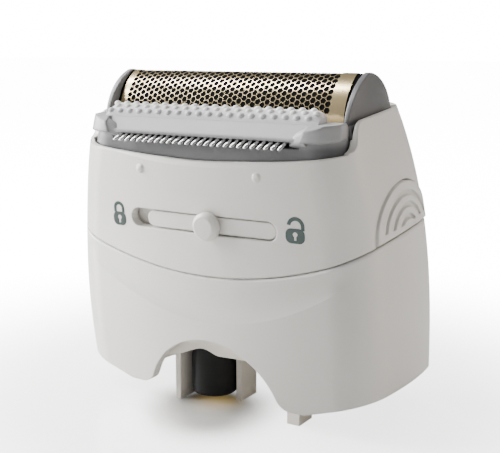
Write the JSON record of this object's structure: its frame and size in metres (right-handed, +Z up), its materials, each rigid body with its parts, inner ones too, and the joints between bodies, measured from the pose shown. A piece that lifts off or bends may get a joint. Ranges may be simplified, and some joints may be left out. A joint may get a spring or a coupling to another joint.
{
  "type": "shaver head",
  "caption": "Clip-on shaver head with a floating perforated foil, an oscillating cutter, a long-hair trimmer, a lock slider and side release buttons.",
  "frame": {"origin": "bottom centre of the bounding box, on the plane the head stands on", "axes": "+X to the right along the foil, +Y to the rear, +Z up along the handle's drive axis"},
  "size_m": [0.0518, 0.0304, 0.049],
  "materials": {
    "white": "satin moulded",
    "grey": "fine matt",
    "soft": "soft matt",
    "black": "satin",
    "natural": "as moulded",
    "foil_metal": "champagne coated sheet",
    "steel": "ground",
    "brass": "turned"
  },
  "bodies": {
    "casing": {"base_skirt": "white", "upper_housing": "white", "chassis": "white", "chassis_screws": "steel", "guide_rods": "steel", "shaft_bearing": "brass", "foil_spring_right": "steel", "foil_spring_left": "steel", "trimmer_spring_right": "steel", "trimmer_spring_left": "steel"},
    "drive": {"drive_coupling": "black", "coupling_bush": "brass", "crank_shaft": "steel"},
    "bridge": {"drive_bridge": "natural", "cutter_spring": "steel"},
    "cutter": {"cutter_carrier": "black", "cutter_blades": "steel"},
    "foil_cassette": {"foil": "foil_metal", "foil_frame": "grey"},
    "trimmer": {"trimmer_bar": "grey", "trimmer_comb": "steel", "soft_strip": "soft"},
    "trimmer_cutter": {"trimmer_blade": "steel"},
    "lock": {"lock_slider": "white", "lock_plate": "grey"},
    "button_right": {"release_button_right": "white"},
    "button_left": {"release_button_left": "white"}
  },
  "joints": [
    {"name": "drive_spin", "type": "hinge", "parent": "casing", "child": "drive", "pos_m": [-0.0034, -0.0052, 0.008], "axis": [0, 0, 1], "continuous": true},
    {"name": "bridge_stroke", "type": "slide", "parent": "casing", "child": "bridge", "axis": [1, 0, 0], "range_m": [-0.00075, 0.00075]},
    {"name": "foil_float", "type": "slide", "parent": "casing", "child": "foil_cassette", "axis": [0, -0.1045, 0.9945], "range_m": [-0.0014, 0], "stiffness_N_per_m": 500, "springref_m": 0.0015, "deforming": ["foil_spring_right", "foil_spring_left"]},
    {"name": "cutter_float", "type": "slide", "parent": "bridge", "child": "cutter", "axis": [0, -0.1045, 0.9945], "range_m": [-0.0014, 0], "deforming": ["cutter_spring"]},
    {"name": "trimmer_float", "type": "slide", "parent": "casing", "child": "trimmer", "axis": [0, -0.1045, 0.9945], "range_m": [-0.0012, 0], "stiffness_N_per_m": 500, "springref_m": 0.0015, "deforming": ["trimmer_spring_right", "trimmer_spring_left"]},
    {"name": "trimmer_stroke", "type": "slide", "parent": "trimmer", "child": "trimmer_cutter", "axis": [1, 0, 0], "range_m": [-0.00075, 0.00075]},
    {"name": "lock_slide", "type": "slide", "parent": "casing", "child": "lock", "axis": [1, 0, 0], "range_m": [-0.0026, 0]},
    {"name": "button_right_press", "type": "slide", "parent": "casing", "child": "button_right", "axis": [-1, 0, 0], "range_m": [0, 0.0012], "stiffness_N_per_m": 800, "springref_m": -0.0005},
    {"name": "button_left_press", "type": "slide", "parent": "casing", "child": "button_left", "axis": [1, 0, 0], "range_m": [0, 0.0012], "stiffness_N_per_m": 800, "springref_m": -0.0005}
  ],
  "couplings": [
    {"joint": "trimmer_stroke", "follows": "bridge_stroke", "ratio": 1},
    {"joint": "cutter_float", "follows": "foil_float", "ratio": 1}
  ]
}
